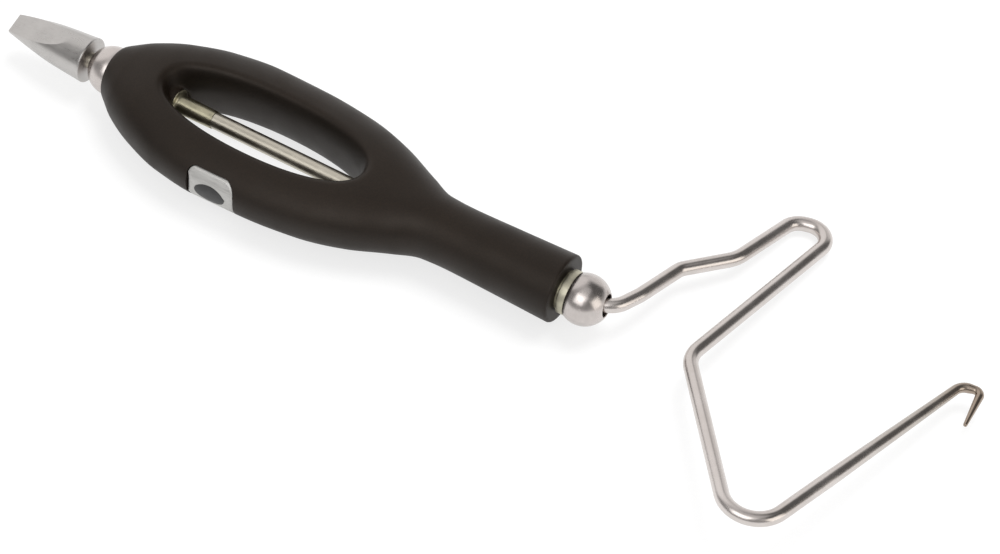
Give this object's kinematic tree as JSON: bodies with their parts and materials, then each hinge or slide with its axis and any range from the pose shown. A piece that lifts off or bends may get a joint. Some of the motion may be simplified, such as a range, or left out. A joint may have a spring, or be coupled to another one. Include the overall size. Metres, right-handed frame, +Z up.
{
  "type": "rotary whip finisher",
  "caption": "Thread-knotting hand tool: cast handle with a finger window, a freely turning spindle with ball collars, a bent spring-wire hook in front and a flat blade tip behind.",
  "frame": {"origin": "on the spindle's axis at the middle of the finger window", "axes": "+X forward along the spindle towards the hook, +Z up through the finger window, +Y to the left"},
  "size_m": [0.1281, 0.0462, 0.0092],
  "materials": {
    "handle_coat": "satin black powder coat over a cast handle",
    "bush_brass": "dull turned brass",
    "washer_brass": "pale turned brass",
    "badge_metal": "fine brushed plate",
    "rod_steel": "ground rod, satin",
    "ball_steel": "polished steel with fine scuffs",
    "wire_steel": "drawn spring wire, satin polished",
    "tip_steel": "turned and ground, fine grinding lines"
  },
  "bodies": {
    "handle": {"handle_body": "handle_coat", "rear_bush": "bush_brass", "front_bush": "bush_brass", "badge_plate": "badge_metal"},
    "spindle": {"spindle_rod": "rod_steel", "rear_ball": "ball_steel", "front_ball": "ball_steel", "thrust_washer": "washer_brass", "hook_wire": "wire_steel", "blade_tip": "tip_steel"}
  },
  "joints": [
    {"name": "spindle_spin", "type": "hinge", "parent": "handle", "child": "spindle", "pos_m": [0, 0, 0], "axis": [1, 0, 0], "continuous": true}
  ]
}
